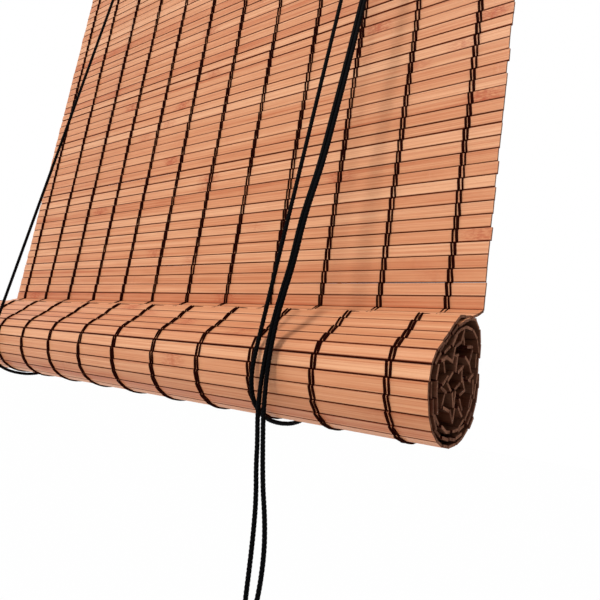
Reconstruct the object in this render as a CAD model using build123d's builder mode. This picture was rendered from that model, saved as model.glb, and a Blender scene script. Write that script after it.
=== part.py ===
"""Bamboo roll-up blind, half raised, hanging from its headrail.

Frame: +Z up, +X along the slats, the room side faces -Y. The origin is midway
between the two hanger holes, on the wall face of the hanger plates.
All sizes are in millimetres.
"""

import math
import os

from build123d import *

# Slats and mat
slat_length = 600.0
slat_width = 8.6
slat_thickness = 1.7
slat_gap = 0.55
slat_pitch = slat_width + slat_gap
mat_slats = 64
link_width = 3.0
mat_top = -14.0

# Warp threads: twelve columns, two strands side by side in each
thread_spacing = 50.5
first_thread_inset = 23.7
least_thread_inset = 20.0
strand_width = 1.2
strand_pitch = 2.5
strand_thickness = 0.7
band_width = strand_pitch + strand_width

# Headrail, clamping strip and hanger plates
plate_thickness = 1.5
plate_width = 20.0
plate_below = 48.0
hanger_inset = 60.0
hanger_hole_radius = 2.5
batten_thickness = 16.0
batten_height = 38.0
strip_thickness = 6.0
strip_height = 36.0
edge_round = 1.0

# Screws
screw_radius = 1.5
screw_clearance = 0.05
screw_head_radius = 2.9
screw_head_height = 1.6
strip_screw_length = 18.0
fitting_screw_length = 5.5
hanger_screw_length = 11.0
strip_screws = 5
strip_screw_margin = 30.0
hanger_screw_drops = (24.0, 40.0)
countersink_depth = 1.3

# Cords and the fittings that they run through
cord_radius = 1.2
cord_inset = 117.7
groove_radius = 7.0
sheave_radius = 8.6
sheave_width = 3.6
groove_spacing = 4.0
first_groove_depth = 2.3
groove_clearance = 0.1
hub_radius = 3.0
axle_radius = 1.6
axle_clearance = 0.05
fitting_sheet = 1.2
fitting_top = -17.0
sheave_centre_z = -31.0
lock_exit_shift = 38.0
lock_exit_z = -66.0
side_gap = 0.5
bend_radius = 1.0
tab_reach = 8.0
tab_height = 10.0
sheave_room = 1.6
rivet_stand = 0.8
run_turn = 25.0
run_turn_radius = 60.0

# Cord lock cam
cam_radius = 4.2
cam_offset = 1.0
cam_reach = 4.9
cam_z = -54.0
cam_rest_angle = 40.0

# The roll: where its middle hangs below the mat, and how its turns close in
roll_forward = 30.3
roll_drop = 48.35
roll_radius = 36.6
turn_step = 3.9
neat_turn = 985.0
neck_angles = (60, 70, 79, 80)
# Swellings and dips of the roll: angle from the top, its width in degrees, height
front_dip = (42, 24, -6.3)
front_swell = (145, 42, 3.0)
back_swell = (250, 50, 1.2)
crest_swells = ((324, 24, 12.0), (681, 28, 9.3))
# Rings of loose folds in the core: how many slats, mean radius, swing
fold_counts = (17, 6)
fold_radii = (18.5, 9.5)
fold_swings = (7.5, 5.0)
fold_clearance = 0.12
hinge_link = 0.8
loop_clearance = 0.52
loop_slack = 0.05
band_hinges = 25
band_start = 1.8

# Wooden pull at the end of the two pull cords
pull_length = 28.0
pull_radius = 7.0
pull_neck_radius = 4.2
pull_bore = 2.6
pull_neck = 10.0
pull_shoulder = 16.0
pull_foot = 1.0
pull_cavity_radius = 4.6
pull_cord_apart = 2.5
pull_x, pull_y, pull_top = 212.0, -92.4, -816.0
knot_radius = 3.6
knot_height = 5.0
cord_hole_clearance = 0.3

# Places worked out from the sizes above
batten_front = -plate_thickness - batten_thickness
mat_y = batten_front - strand_thickness - slat_thickness / 2
strip_back = mat_y - slat_thickness / 2 - strand_thickness
strip_front = strip_back - strip_thickness
mat_bottom = mat_top - mat_slats * slat_pitch
roll_y = mat_y - roll_forward
roll_z = mat_bottom - roll_drop
batten_bottom = mat_top - batten_height
entry_groove_y = strip_front - fitting_sheet - first_groove_depth
outer_groove_y = entry_groove_y - groove_spacing
run_radius = groove_radius + cord_radius
run_z = sheave_centre_z + run_radius
screw_z = mat_top - 1.5 * slat_pitch
plate_front = strip_front - fitting_sheet
cheek_back = outer_groove_y - sheave_width / 2 - side_gap
cheek_front = cheek_back - fitting_sheet
hub_back = plate_front - side_gap / 2
hub_front = cheek_back + side_gap / 2
cord_x = slat_length / 2 - cord_inset
exit_x = cord_x + lock_exit_shift
cord_loop_radius = roll_radius - turn_step * front_swell[0] / 360 + front_swell[2]
cord_loop_radius += slat_thickness / 2 + cord_radius + loop_clearance
cord_back_y = roll_y + cord_loop_radius
hanger_xs = (hanger_inset - slat_length / 2, slat_length / 2 - hanger_inset)
thread_run = slat_length - first_thread_inset - least_thread_inset
thread_columns = int(thread_run / thread_spacing) + 1
thread_xs = [slat_length / 2 - first_thread_inset - i * thread_spacing for i in range(thread_columns)]

screw_span = (slat_length - 2 * strip_screw_margin) / (strip_screws - 1)
strip_screw_xs = [strip_screw_margin - slat_length / 2 + i * screw_span for i in range(strip_screws)]
strip_screw_places = [(x, screw_z) for x in strip_screw_xs]
hanger_screw_places = [(x, -drop) for x in hanger_xs for drop in hanger_screw_drops]
entry_sheave_x = cord_x + run_radius
exit_sheave_x = exit_x - run_radius
pulley_x = -cord_x + run_radius
pulley_low_x = -cord_x - cord_radius - sheave_room
pulley_high_x = pulley_x + sheave_radius + sheave_room
pulley_bottom = sheave_centre_z - sheave_radius - sheave_room
lock_low_x = cord_x - cord_radius - sheave_room
lock_high_x = exit_x + cord_radius + side_gap + fitting_sheet
cam_x = exit_x - cord_radius - cam_reach
lock_bores = [(entry_sheave_x, sheave_centre_z), (exit_sheave_x, sheave_centre_z), (cam_x, cam_z)]
pulley_screws = [(x, sheave_centre_z) for x in (pulley_low_x - tab_reach / 2, pulley_high_x + tab_reach / 2)]
lock_screws = [(x, sheave_centre_z) for x in (lock_low_x - tab_reach / 2, lock_high_x + tab_reach / 2)]
fitting_screw_places = pulley_screws + lock_screws

os.makedirs("parts", exist_ok=True)


def save(part, name):
    """Label a finished piece and write its file."""
    part.label = name
    export_step(part, f"parts/{name}.step")


def bump(angle, centre, width, height):
    """A smooth local swelling of the roll, height at its centre."""
    return height * math.exp(-(((angle - centre) / width) ** 2))


def turn_radius(angle):
    """Distance of the neat turns from the roll's middle, angle in degrees from the top."""
    here = angle % 360
    radius = roll_radius - turn_step * angle / 360
    radius += bump(here, *front_dip) + bump(here - 360, *front_dip)
    radius += bump(here, *front_swell) + bump(here, *back_swell)
    return radius + sum(bump(angle, *swell) for swell in crest_swells)


def on_roll(angle, radius):
    """Point of the roll's section, as (y, z)."""
    turn = math.radians(angle)
    return (roll_y - radius * math.sin(turn), roll_z + radius * math.cos(turn))


def next_angle(start, angle, radius_at):
    """Angle at which the next slat, one pitch long, ends on a given curve."""
    coarse, fine = 0.5, 1e-7
    far = angle
    while math.dist(start, on_roll(far, radius_at(far))) < slat_pitch:
        far += coarse
    near = far - coarse
    while far - near > fine:
        middle = (near + far) / 2
        if math.dist(start, on_roll(middle, radius_at(middle))) < slat_pitch:
            near = middle
        else:
            far = middle
    return far


def roll_hinges():
    """Hinge points of the rolled part, from the mat's lower edge to the roll's core."""
    y, z = mat_y, mat_bottom
    points = [(y, z)]
    for tip in neck_angles:
        y -= slat_pitch * math.sin(math.radians(tip))
        z -= slat_pitch * math.cos(math.radians(tip))
        points.append((y, z))
    angle = math.degrees(math.atan2(roll_y - y, z - roll_z))
    while angle < neat_turn:
        angle = next_angle(points[-1], angle, turn_radius)
        points.append(on_roll(angle, turn_radius(angle)))
    fold = 0
    for count, mean, swing in zip(fold_counts, fold_radii, fold_swings):
        for _ in range(count):
            side = 1 if fold % 2 else -1
            radius = mean + side * swing / 2 * (0.8 + 0.25 * math.sin(1.7 * fold))
            radius += math.sin(0.55 * fold)
            angle = next_angle(points[-1], angle, lambda _: radius)
            points.append(on_roll(angle, radius))
            fold += 1
    return points


def fold_turns(points):
    """Size of the turn at each hinge, in radians, from the mat itself to the free end."""
    turns = [math.radians(neck_angles[0])]
    for before, here, after in zip(points, points[1:], points[2:]):
        first = math.atan2(here[1] - before[1], here[0] - before[0])
        second = math.atan2(after[1] - here[1], after[0] - here[0])
        turns.append(abs((second - first + math.pi) % (2 * math.pi) - math.pi))
    return turns + [0.0]


def slat_outline(points, link):
    """Closed outline of slats on a path, joined at their hinges by a thin link."""
    turns = fold_turns(points)
    left, right = [], []
    for i, (start, end) in enumerate(zip(points, points[1:])):
        length = math.dist(start, end)
        along = ((end[0] - start[0]) / length, (end[1] - start[1]) / length)
        back_start, back_end = (
            max(slat_gap / 2, slat_thickness / 2 * math.tan(turn / 2) + fold_clearance)
            for turn in (turns[i], turns[i + 1])
        )
        corners = (
            (back_start, link / 2),
            (back_start, slat_thickness / 2),
            (length - back_end, slat_thickness / 2),
            (length - back_end, link / 2),
        )
        for side, edge in ((1, left), (-1, right)):
            for run, rise in corners:
                y = start[0] + along[0] * run - along[1] * side * rise
                z = start[1] + along[1] * run + along[0] * side * rise
                edge.append((y, z))
    return left + right[::-1]


def band_outline(points, inner, outer):
    """Closed outline of a band beside a path, between two distances from it."""
    edges = ([], [])
    for i, here in enumerate(points):
        before = points[max(i - 1, 0)]
        after = points[min(i + 1, len(points) - 1)]
        first = math.atan2(here[1] - before[1], here[0] - before[0])
        second = math.atan2(after[1] - here[1], after[0] - here[0])
        if i == 0:
            first = second
        if i == len(points) - 1:
            second = first
        half = ((second - first + math.pi) % (2 * math.pi) - math.pi) / 2
        normal = first + half - math.pi / 2
        for edge, distance in zip(edges, (inner, outer)):
            reach = distance / math.cos(half)
            edge.append((here[0] + reach * math.cos(normal), here[1] + reach * math.sin(normal)))
    return edges[0] + edges[1][::-1]


def cord_radii(points, share=0.45):
    """Arc radius at each corner of a free cord, as large as its two runs allow."""
    radii = []
    for before, here, after in zip(points, points[1:], points[2:]):
        first = Vector(*here) - Vector(*before)
        second = Vector(*after) - Vector(*here)
        shorter = min(first.length, second.length)
        radii.append(share * shorter / math.tan(math.radians(first.get_angle(second)) / 2))
    return radii


def sweep_cord(points, radii, name):
    """A cord of straight runs joined by tangent arcs."""
    with BuildPart() as cord:
        with BuildLine() as route:
            FilletPolyline(*points, radius=radii)
        path = route.wires()[0]
        with BuildSketch(Plane(origin=path @ 0, z_dir=path % 0)):
            Circle(cord_radius)
        sweep(path=path)
    expected = math.pi * cord_radius**2 * path.length
    bends = ", ".join(f"{radius:.0f}" for radius in radii)
    print(f"{name}: length {path.length:.1f}, radii {bends}")
    print(f"{name}: volume over section times length {cord.part.volume / expected:.4f}")
    save(cord.part, name)


def drill(radius, places, y, depth):
    """Round holes along Y, centred at depth's middle, cut in the part being built."""
    with Locations(*[(x, y, z) for x, z in places]):
        Cylinder(radius, depth, rotation=(90, 0, 0), mode=Mode.SUBTRACT)


def screw_group(name, places, head_face, length):
    """Pan-head screws in one node; the head lies on head_face, the shank goes towards +Y."""
    toward = 1 if length > 0 else -1
    with BuildPart() as screws:
        with Locations(*[(x, head_face + length / 2, z) for x, z in places]):
            Cylinder(screw_radius, abs(length), rotation=(90, 0, 0))
        with Locations(*[(x, head_face - toward * screw_head_height / 2, z) for x, z in places]):
            Cylinder(screw_head_radius, screw_head_height, rotation=(90, 0, 0))
        rims = screws.edges().filter_by(GeomType.CIRCLE).group_by(Axis.Y)[0 if toward > 0 else -1]
        chamfer(rims, screw_head_height / 3)
    save(screws.part, name)


def fitting(name, low_x, high_x, wall_right, bottom, bores, tab_screws):
    """Steel channel on the strip: back plate with two tabs, one side wall and a front cheek."""
    with BuildPart() as channel:
        with BuildSketch(Plane.XY.offset(bottom)) as section:
            with Locations(((low_x + high_x) / 2, (strip_front + cheek_front) / 2)):
                Rectangle(high_x - low_x, strip_front - cheek_front)
            inner_low = low_x if wall_right else low_x + fitting_sheet
            inner_high = high_x - fitting_sheet if wall_right else high_x
            with Locations(((inner_low + inner_high) / 2, (plate_front + cheek_back) / 2)):
                Rectangle(inner_high - inner_low, plate_front - cheek_back, mode=Mode.SUBTRACT)
            corners = section.vertices().group_by(Axis.X)[-1 if wall_right else 0]
            fillet(corners.sort_by(Axis.Y)[0], bend_radius)
        extrude(amount=fitting_top - bottom)
        with BuildSketch(Plane.XZ.offset(-strip_front)):
            with Locations(((low_x + high_x) / 2, sheave_centre_z)):
                SlotOverall(high_x - low_x + 2 * tab_reach, tab_height)
        extrude(amount=fitting_sheet)
        drill(axle_radius, bores, cheek_back, 4 * (strip_front - cheek_front))
        drill(screw_radius + screw_clearance, tab_screws, strip_front, 4 * fitting_sheet)
    save(channel.part, name)


def sheave(name, x, grooves):
    """Grooved wheel with a long hub, turning on an axle along Y."""
    groove_room = cord_radius + groove_clearance
    with BuildPart() as wheel:
        with BuildSketch(Plane.XY):
            low = min(grooves) - sheave_width / 2
            high = max(grooves) + sheave_width / 2
            with Locations((x + sheave_radius / 2, (low + high) / 2)):
                Rectangle(sheave_radius, high - low)
            with Locations((x + hub_radius / 2, (hub_back + hub_front) / 2)):
                Rectangle(hub_radius, hub_back - hub_front)
            with Locations(*[(x + run_radius, y) for y in grooves]):
                RegularPolygon(groove_room, 8, major_radius=False, rotation=22.5, mode=Mode.SUBTRACT)
            with Locations(*[(x + run_radius + sheave_radius / 2, y) for y in grooves]):
                Rectangle(sheave_radius, 2 * groove_room, mode=Mode.SUBTRACT)
            bore = axle_radius + axle_clearance
            with Locations((x + bore / 2, (hub_back + hub_front) / 2)):
                Rectangle(bore, 2 * (hub_back - hub_front), mode=Mode.SUBTRACT)
        revolve(axis=Axis((x, 0, 0), (0, 1, 0)))
    wheel.part = wheel.part.moved(Location((0, 0, sheave_centre_z)))
    save(wheel.part, name)


def axles(name, places):
    """Riveted axle pins along Y, through the cheek and into the back plate."""
    length = strip_front - cheek_front + rivet_stand
    with BuildPart() as pins:
        with Locations(*[(x, strip_front - length / 2, z) for x, z in places]):
            Cylinder(axle_radius, length, rotation=(90, 0, 0))
    save(pins.part, name)


def knot(name, x, y, z):
    """Tight knot at a cord's end, as a plain closed form centred at its place."""
    with BuildPart() as bundle:
        with Locations((x, y, z)):
            Cylinder(knot_radius, knot_height)
        chamfer(bundle.edges().filter_by(GeomType.CIRCLE), knot_height / 4)
    save(bundle.part, name)


# Slat mat: one wall of slats, linked only under the two outermost thread columns
mat_height = mat_slats * slat_pitch - slat_gap
open_width = thread_xs[0] - thread_xs[-1] - link_width
margin_width = slat_length / 2 - thread_xs[0] - link_width / 2
margin_left = slat_length / 2 + thread_xs[-1] - link_width / 2
gap_zs = [mat_top - i * slat_pitch + slat_gap / 2 for i in range(1, mat_slats)]
with BuildPart() as slat_mat:
    with BuildSketch(Plane.XZ.offset(-mat_y - slat_thickness / 2)):
        with Locations((0, mat_top - mat_height / 2)):
            Rectangle(slat_length, mat_height)
        with Locations(*[((thread_xs[0] + thread_xs[-1]) / 2, z) for z in gap_zs]):
            Rectangle(open_width, slat_gap, mode=Mode.SUBTRACT)
        with Locations(*[(slat_length / 2 - margin_width / 2, z) for z in gap_zs]):
            Rectangle(margin_width, slat_gap, mode=Mode.SUBTRACT)
        with Locations(*[(margin_left / 2 - slat_length / 2, z) for z in gap_zs]):
            Rectangle(margin_left, slat_gap, mode=Mode.SUBTRACT)
    extrude(amount=slat_thickness)
    drill(screw_radius + screw_clearance, strip_screw_places, mat_y, 2 * slat_thickness)
save(slat_mat.part, "slat_mat")

# Slat roll: the rolled turns, as one linked strip of slats
hinges = roll_hinges()
with BuildPart() as slat_roll:
    with BuildSketch(Plane.YZ.offset(-slat_length / 2)):
        with BuildLine():
            Polyline(*slat_outline(hinges, hinge_link), close=True)
        make_face()
    extrude(amount=slat_length)
save(slat_roll.part, "slat_roll")

# Warp threads of the hanging mat: two strands in each column, over the top edge and down both faces
for number, x in enumerate(thread_xs, start=1):
    with BuildPart() as warp_thread:
        for side in (-1, 1):
            with BuildSketch(Plane.YZ.offset(x + side * strand_pitch / 2 - strand_width / 2)):
                with Locations((mat_y, mat_top - mat_height / 2 + strand_thickness / 2)):
                    Rectangle(slat_thickness + 2 * strand_thickness, mat_height + strand_thickness)
                with Locations((mat_y, mat_top - mat_height / 2)):
                    Rectangle(slat_thickness, mat_height, mode=Mode.SUBTRACT)
            extrude(amount=strand_width)
    save(warp_thread.part, f"warp_thread_{number:02d}")

# Warp threads of the roll: each pair of strands as one band round the outermost turn
band_start_y = hinges[0][0] - band_start * math.sin(math.radians(neck_angles[0]))
band_start_z = hinges[0][1] - band_start * math.cos(math.radians(neck_angles[0]))
band_path = [(band_start_y, band_start_z)] + hinges[1:band_hinges]
band_edge = band_outline(band_path, slat_thickness / 2, slat_thickness / 2 + strand_thickness)
for number, x in enumerate(thread_xs, start=1):
    with BuildPart() as roll_thread:
        with BuildSketch(Plane.YZ.offset(x - band_width / 2)):
            with BuildLine():
                Polyline(*band_edge, close=True)
            make_face()
        extrude(amount=band_width)
    save(roll_thread.part, f"roll_thread_{number:02d}")

# Headrail: a wooden batten behind the mat and a strip in front that clamps it
with BuildPart() as headrail_batten:
    with BuildSketch(Plane.YZ.offset(-slat_length / 2)):
        with Locations((batten_front + batten_thickness / 2, mat_top - batten_height / 2)):
            RectangleRounded(batten_thickness, batten_height, edge_round)
    extrude(amount=slat_length)
    with Locations(*[(x, cord_back_y, mat_top - batten_height / 2) for x in (-cord_x, cord_x)]):
        Cylinder(cord_radius + cord_hole_clearance, batten_height, mode=Mode.SUBTRACT)
    pilot = screw_radius + screw_clearance
    strip_reach = strip_screw_length + strip_front - batten_front
    drill(pilot, strip_screw_places, batten_front, 2 * strip_reach)
    drill(pilot, hanger_screw_places, -plate_thickness, 2 * (hanger_screw_length - plate_thickness))
save(headrail_batten.part, "headrail_batten")

with BuildPart() as headrail_strip:
    with BuildSketch(Plane.YZ.offset(-slat_length / 2)):
        with Locations((strip_front + strip_thickness / 2, mat_top - strip_height / 2)):
            RectangleRounded(strip_thickness, strip_height, edge_round)
    extrude(amount=slat_length)
    drill(pilot, strip_screw_places, strip_front, 4 * strip_thickness)
    drill(pilot, fitting_screw_places, strip_front, 2 * (fitting_screw_length - fitting_sheet))
save(headrail_strip.part, "headrail_strip")

screw_group("strip_screws", strip_screw_places, strip_front, strip_screw_length)
screw_group("fitting_screws", fitting_screw_places, plate_front, fitting_screw_length)

# Hanger plates on the wall side of the batten
for name, x in zip(("hanger_plate_left", "hanger_plate_right"), hanger_xs):
    with BuildPart() as hanger_plate:
        with BuildSketch(Plane.XZ):
            with Locations((x, (plate_width / 2 - plate_below) / 2)):
                SlotOverall(plate_below + plate_width / 2, plate_width, rotation=90)
            with Locations((x, 0)):
                Circle(hanger_hole_radius, mode=Mode.SUBTRACT)
            with Locations(*[(x, -drop) for drop in hanger_screw_drops]):
                Circle(pilot, mode=Mode.SUBTRACT)
        extrude(amount=plate_thickness)
        with Locations(*[(x, -countersink_depth / 2, -drop) for drop in hanger_screw_drops]):
            sink = (screw_head_radius + screw_clearance, pilot, countersink_depth)
            Cone(*sink, rotation=(90, 0, 0), mode=Mode.SUBTRACT)
    save(hanger_plate.part, name)

# Countersunk screws, flush with the plates where the wall lies against them
with BuildPart() as hanger_screws:
    with Locations(*[(x, -hanger_screw_length / 2, z) for x, z in hanger_screw_places]):
        Cylinder(screw_radius, hanger_screw_length, rotation=(90, 0, 0))
    with Locations(*[(x, -countersink_depth / 2, z) for x, z in hanger_screw_places]):
        Cone(screw_head_radius, screw_radius, countersink_depth, rotation=(90, 0, 0))
save(hanger_screws.part, "hanger_screws")

# Left pulley, and the lock on the right with its entry and exit sheaves
fitting("pulley_bracket", pulley_low_x, pulley_high_x, False, pulley_bottom, [(pulley_x, sheave_centre_z)], pulley_screws)
fitting("lock_housing", lock_low_x, lock_high_x, True, lock_exit_z, lock_bores, lock_screws)
sheave("pulley_sheave", pulley_x, [outer_groove_y])
sheave("lock_entry_sheave", entry_sheave_x, [entry_groove_y])
sheave("lock_exit_sheave", exit_sheave_x, [entry_groove_y, outer_groove_y])
axles("pulley_axle", [(pulley_x, sheave_centre_z)])
axles("lock_axles", [(entry_sheave_x, sheave_centre_z), (exit_sheave_x, sheave_centre_z)])
axles("lock_cam_pin", [(cam_x, cam_z)])

with BuildPart() as lock_cam:
    with BuildSketch(Plane.XZ.offset(-hub_back)):
        lobe = math.radians(cam_rest_angle)
        with Locations((cam_x + cam_offset * math.sin(lobe), cam_z - cam_offset * math.cos(lobe))):
            Circle(cam_radius)
        with Locations((cam_x, cam_z)):
            Circle(axle_radius + axle_clearance, mode=Mode.SUBTRACT)
    extrude(amount=hub_back - hub_front)
save(lock_cam.part, "lock_cam")

# Lift cords: knotted on the batten, down the back, round under the roll, up the front and
# over the sheaves to the lock's exit
for name, x, groove_y in (
    ("lift_cord_left", -cord_x, outer_groove_y),
    ("lift_cord_right", cord_x, entry_groove_y),
):
    turn_z = run_z - run_turn
    lean = math.asin(cord_loop_radius / math.dist((roll_y, roll_z), (groove_y, turn_z)))
    lean += math.atan2(groove_y - roll_y, turn_z - roll_z)
    loop_bottom = roll_z - cord_loop_radius
    corner_y = groove_y - (turn_z - loop_bottom) * math.tan(lean)
    route = [
        (x, cord_back_y, mat_top),
        (x, cord_back_y, loop_bottom),
        (x, corner_y, loop_bottom),
        (x, groove_y, turn_z),
        (x, groove_y, run_z),
        (exit_x, groove_y, run_z),
        (exit_x, groove_y, lock_exit_z),
    ]
    loop_turn = cord_loop_radius - loop_slack
    sweep_cord(route, [loop_turn, loop_turn, run_turn_radius, run_radius, run_radius], name)

for name, x in (("cord_knot_left", -cord_x), ("cord_knot_right", cord_x)):
    knot(name, x, cord_back_y, mat_top + knot_height / 2)

# Pull cords: from the lock's exit, over the front of the roll and down to the wooden pull.
# Their points follow the photographed cords, with a kink above the roll.
left_route = [
    (exit_x, outer_groove_y, lock_exit_z),
    (exit_x, outer_groove_y, lock_exit_z - 10),
    (220.1, -35.7, -96),
    (218.2, -41.5, -145),
    (215.4, -48.5, -200),
    (212.4, -55.5, -258),
    (209.0, -62.0, -316),
    (206.4, -67.6, -374),
    (204.9, -72.4, -428),
    (203.9, -77.8, -476),
    (204.3, -84.2, -519),
    (203.6, -89.0, -543),
    (201.6, -90.4, -560),
    (199.9, -91.1, -588),
    (197.0, -91.8, -606),
    (194.3, -92.2, -626),
    (192.6, -92.4, -655),
    (194.4, -92.5, -682),
    (198.3, -92.3, -700),
    (200.3, -92.2, -714),
    (203.6, -92.2, -728),
    (205.8, -92.3, -742),
    (207.6, -92.4, -762),
    (208.9, -92.5, -786),
    (210.4, -92.4, -806),
    (pull_x - pull_cord_apart / 2, pull_y, pull_top),
    (pull_x - pull_cord_apart / 2, pull_y, pull_top - pull_neck),
]
right_route = [
    (exit_x, entry_groove_y, lock_exit_z),
    (exit_x, entry_groove_y, lock_exit_z - 10),
    (221.4, -32.6, -95),
    (220.9, -40.2, -142),
    (218.0, -47.6, -198),
    (215.2, -54.5, -256),
    (211.9, -61.2, -314),
    (209.0, -67.0, -372),
    (207.6, -71.6, -426),
    (206.6, -76.8, -473),
    (206.9, -83.2, -516),
    (206.4, -88.6, -541),
    (204.6, -90.2, -558),
    (202.6, -91.0, -587),
    (199.9, -91.7, -605),
    (197.0, -92.1, -625),
    (196.2, -92.3, -655),
    (199.0, -92.4, -682),
    (202.6, -92.3, -700),
    (205.3, -92.2, -713),
    (208.6, -92.3, -726),
    (212.2, -92.4, -737),
    (215.2, -92.4, -749),
    (217.2, -92.5, -762),
    (217.6, -92.5, -780),
    (215.2, -92.4, -799),
    (pull_x + pull_cord_apart / 2, pull_y, pull_top),
    (pull_x + pull_cord_apart / 2, pull_y, pull_top - pull_neck),
]
sweep_cord(left_route, cord_radii(left_route), "pull_cord_left")
sweep_cord(right_route, cord_radii(right_route), "pull_cord_right")

# Turned wooden pull: a bell with the cords' knot inside it
with BuildPart() as cord_pull:
    with BuildSketch(Plane.XZ):
        with BuildLine():
            Line((pull_bore, 0), (pull_neck_radius, 0))
            Line((pull_neck_radius, 0), (pull_radius, -pull_shoulder))
            Line((pull_radius, -pull_shoulder), (pull_radius, -pull_length + pull_foot))
            Line((pull_radius, -pull_length + pull_foot), (pull_radius - pull_foot, -pull_length))
            Line((pull_radius - pull_foot, -pull_length), (pull_cavity_radius, -pull_length))
            Line((pull_cavity_radius, -pull_length), (pull_cavity_radius, -pull_neck))
            Line((pull_cavity_radius, -pull_neck), (pull_bore, -pull_neck))
            Line((pull_bore, -pull_neck), (pull_bore, 0))
        make_face()
    revolve(axis=Axis.Z)
cord_pull.part = cord_pull.part.moved(Location((pull_x, pull_y, pull_top)))
save(cord_pull.part, "cord_pull")

knot("pull_knot", pull_x, pull_y, pull_top - pull_neck - knot_height / 2)
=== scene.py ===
"""Bamboo roll-up blind, half raised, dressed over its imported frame.

Frame: +Z up, +X along the slats, the room side faces -Y, metres.
The origin lies midway between the two hanger holes, on the wall face.
"""

from __future__ import annotations

import logging
import math
from dataclasses import dataclass, field
from enum import Enum
from functools import partial
from typing import Callable, Iterable, Sequence, Union

import bpy
import numpy as np
from mathutils import Matrix, Vector

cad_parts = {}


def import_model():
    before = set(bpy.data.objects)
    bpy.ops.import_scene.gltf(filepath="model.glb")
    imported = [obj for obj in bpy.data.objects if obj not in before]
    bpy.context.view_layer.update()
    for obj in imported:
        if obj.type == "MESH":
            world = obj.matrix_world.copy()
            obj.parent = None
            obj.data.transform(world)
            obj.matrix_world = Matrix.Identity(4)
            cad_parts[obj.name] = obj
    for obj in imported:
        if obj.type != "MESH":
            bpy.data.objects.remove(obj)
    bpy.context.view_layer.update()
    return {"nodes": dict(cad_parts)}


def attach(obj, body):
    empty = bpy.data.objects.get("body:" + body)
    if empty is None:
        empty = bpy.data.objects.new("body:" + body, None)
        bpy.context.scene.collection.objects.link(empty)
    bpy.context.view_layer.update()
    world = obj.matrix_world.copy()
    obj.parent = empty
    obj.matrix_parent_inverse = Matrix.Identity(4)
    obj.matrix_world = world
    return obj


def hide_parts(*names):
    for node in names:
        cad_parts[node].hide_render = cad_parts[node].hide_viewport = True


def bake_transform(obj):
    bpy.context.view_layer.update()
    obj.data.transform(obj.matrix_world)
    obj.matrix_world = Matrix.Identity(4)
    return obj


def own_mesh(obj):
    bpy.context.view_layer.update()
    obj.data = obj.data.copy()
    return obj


LOG = logging.getLogger("bamboo_blind")
MM = 0.001
TWINE_LAY, CORD_LAY = 2.6 * MM, 7.2 * MM

Material = bpy.types.Material
Piece = bpy.types.Object
Owner = Union[Material, bpy.types.World]
# A place in the blind's section, as (y, z), and one in space.
Spot = tuple[float, float]
Point = tuple[float, float, float]
Colour = tuple[float, float, float]
# What shader arithmetic takes.
Value = Union["Signal", float]
# A local swelling of the roll: its middle and width in degrees, its height in mm.
Swell = tuple[float, float, float]
# What Bench.node takes for a shader: its type, settings and inputs.
Shader = tuple[str, None, dict]

WHITE: Colour = (1, 1, 1)

# The last number darkens the roll's inner faces and its buried slats with painted shade.
SLAT_NUMBERS = ("tone", "seed", "node_x", "node_depth", "across", "painted_shade")
# Sockets of the Mix node that are meant for colours.
MIX_FACTOR, MIX_FIRST, MIX_SECOND, MIX_COLOUR = 0, 6, 7, 2
# Share of a slat's length that makes an edge long, and of a normal that makes an end or skin.
LONG_SHARE, FACING_SHARE, SKIN_SHARE = 0.9, 0.7, 0.5
# A section's cross direction where the wanted one lies along the line.
ALMOST_PARALLEL, SPARE_FACING = 1e-3, (1.0, 0.3, 0.2)


def srgb(*levels: float) -> Colour:
    """Linear colour of an sRGB colour.

    Args:
        levels: Red, green and blue, 0 to 255.

    Returns:
        The linear red, green and blue.
    """
    parts = (level / 255 for level in levels)
    return tuple(v / 12.92 if v <= 0.04045 else ((v + 0.055) / 1.055) ** 2.4 for v in parts)


class SlatFace(Enum):
    """Material places on a slat."""

    SKIN = 0
    EDGE = 1
    CUT_END = 2


class TwineSide(Enum):
    """Which strand of a pair, by its side of the column."""

    LEFT = -1
    RIGHT = 1


class Signal:
    """A shader socket that takes part in arithmetic."""

    def __init__(self, bench: Bench, socket: bpy.types.NodeSocket) -> None:
        """Wrap a socket of a bench's node tree."""
        self.bench = bench
        self.socket = socket

    def _with(self, operation: str, *operands: Value) -> Signal:
        """Result of one Math node."""
        node = self.bench.node("Math", {"operation": operation}, dict(enumerate(operands)))
        return self.bench.out(node)

    def __add__(self, other: Value) -> Signal:
        """Sum."""
        return self._with("ADD", self, other)

    __radd__ = __add__

    def __sub__(self, other: Value) -> Signal:
        """Difference."""
        return self._with("SUBTRACT", self, other)

    def __rsub__(self, other: float) -> Signal:
        """Difference from a number on the left."""
        return self._with("SUBTRACT", other, self)

    def __mul__(self, other: Value) -> Signal:
        """Product."""
        return self._with("MULTIPLY", self, other)

    __rmul__ = __mul__

    def __truediv__(self, other: Value) -> Signal:
        """Quotient."""
        return self._with("DIVIDE", self, other)

    def __abs__(self) -> Signal:
        """Size without sign."""
        return self._with("ABSOLUTE", self)

    def greatest(self, other: Signal) -> Signal:
        """The greater of two values."""
        return self._with("MAXIMUM", self, other)

    def sine(self) -> Signal:
        """Sine of the value in radians."""
        return self._with("SINE", self)

    def wrapped(self, low: float, high: float) -> Signal:
        """The value folded into a range that repeats."""
        return self._with("WRAP", self, high, low)

    def between(self, low: float, high: float) -> Signal:
        """A smooth step.

        Args:
            low: Where the step leaves 0.
            high: Where it reaches 1.

        Returns:
            The step, from 0 to 1.
        """
        settings = {"interpolation_type": "SMOOTHSTEP"}
        sockets = {"Value": self, "From Min": low, "From Max": high}
        return self.bench.out(self.bench.node("MapRange", settings, sockets), "Result")


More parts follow.
